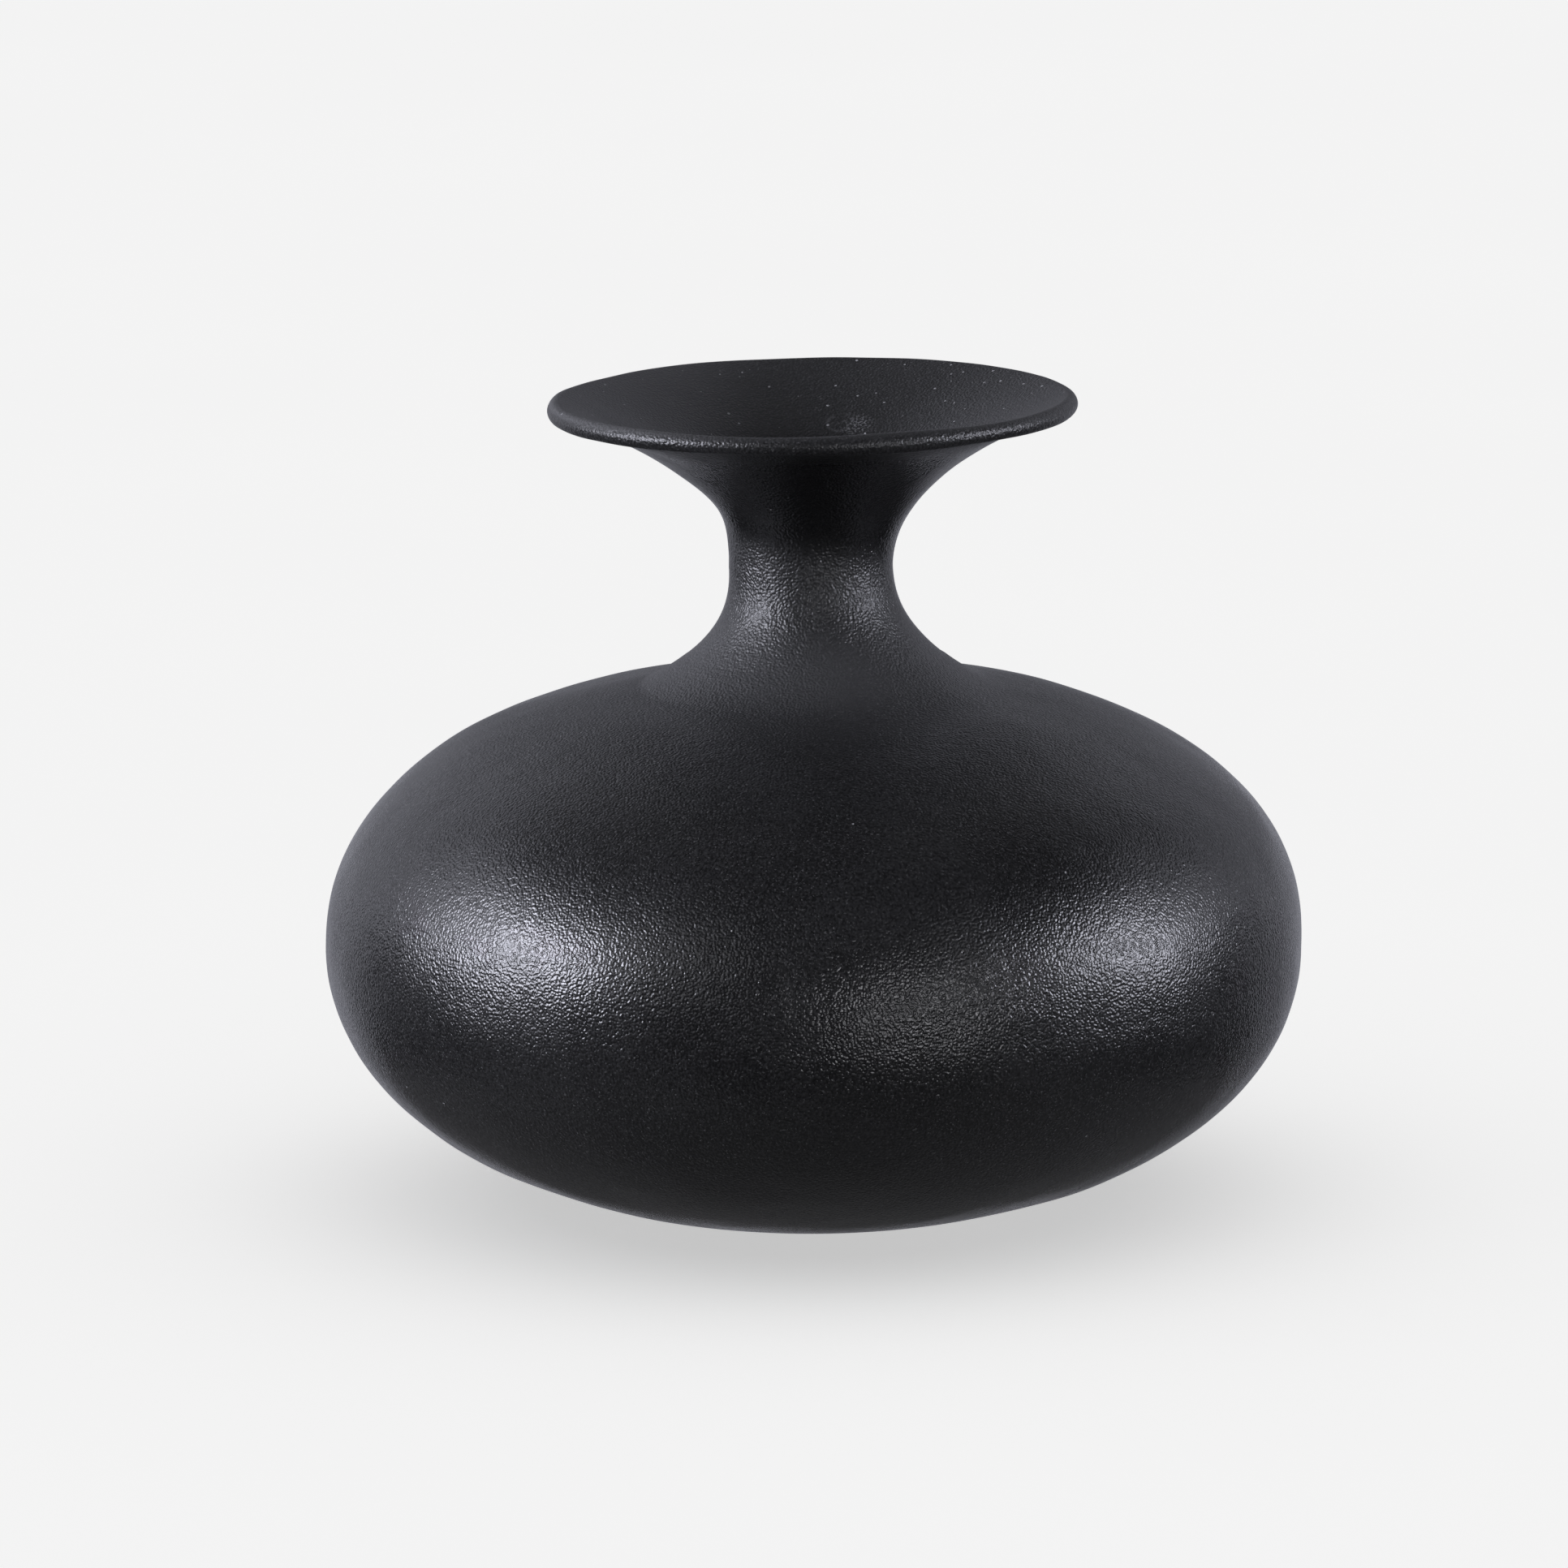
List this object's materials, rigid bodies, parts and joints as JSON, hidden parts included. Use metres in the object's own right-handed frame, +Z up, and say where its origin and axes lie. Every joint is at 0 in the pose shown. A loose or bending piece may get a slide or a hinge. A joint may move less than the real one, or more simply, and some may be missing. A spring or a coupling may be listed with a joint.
{
  "type": "black clay pot",
  "caption": "Squat round black clay pot with a matte grained skin, a narrow waisted neck and a wide flared mouth with a thin rounded lip, standing on a small ring foot.",
  "frame": {"origin": "centre of the foot, on the surface the pot stands on", "axes": "+Z up along the axis of revolution, through the middle of the mouth; +X and +Y are equal, because the pot is round"},
  "size_m": [0.28, 0.28, 0.232],
  "materials": {
    "matte_black_clay": "matte black fired clay with a fine grain and a soft satin sheen",
    "inner_black_clay": "dull black fired clay, wiped by finger and not smoothed"
  },
  "bodies": {
    "root": {"base_disc": "matte_black_clay", "lower_bowl": "matte_black_clay", "equator_coil": "inner_black_clay", "shoulder_dome": "matte_black_clay", "neck": "matte_black_clay", "neck_coil": "inner_black_clay", "flared_rim": "matte_black_clay", "lip_coil": "matte_black_clay"}
  },
  "joints": []
}
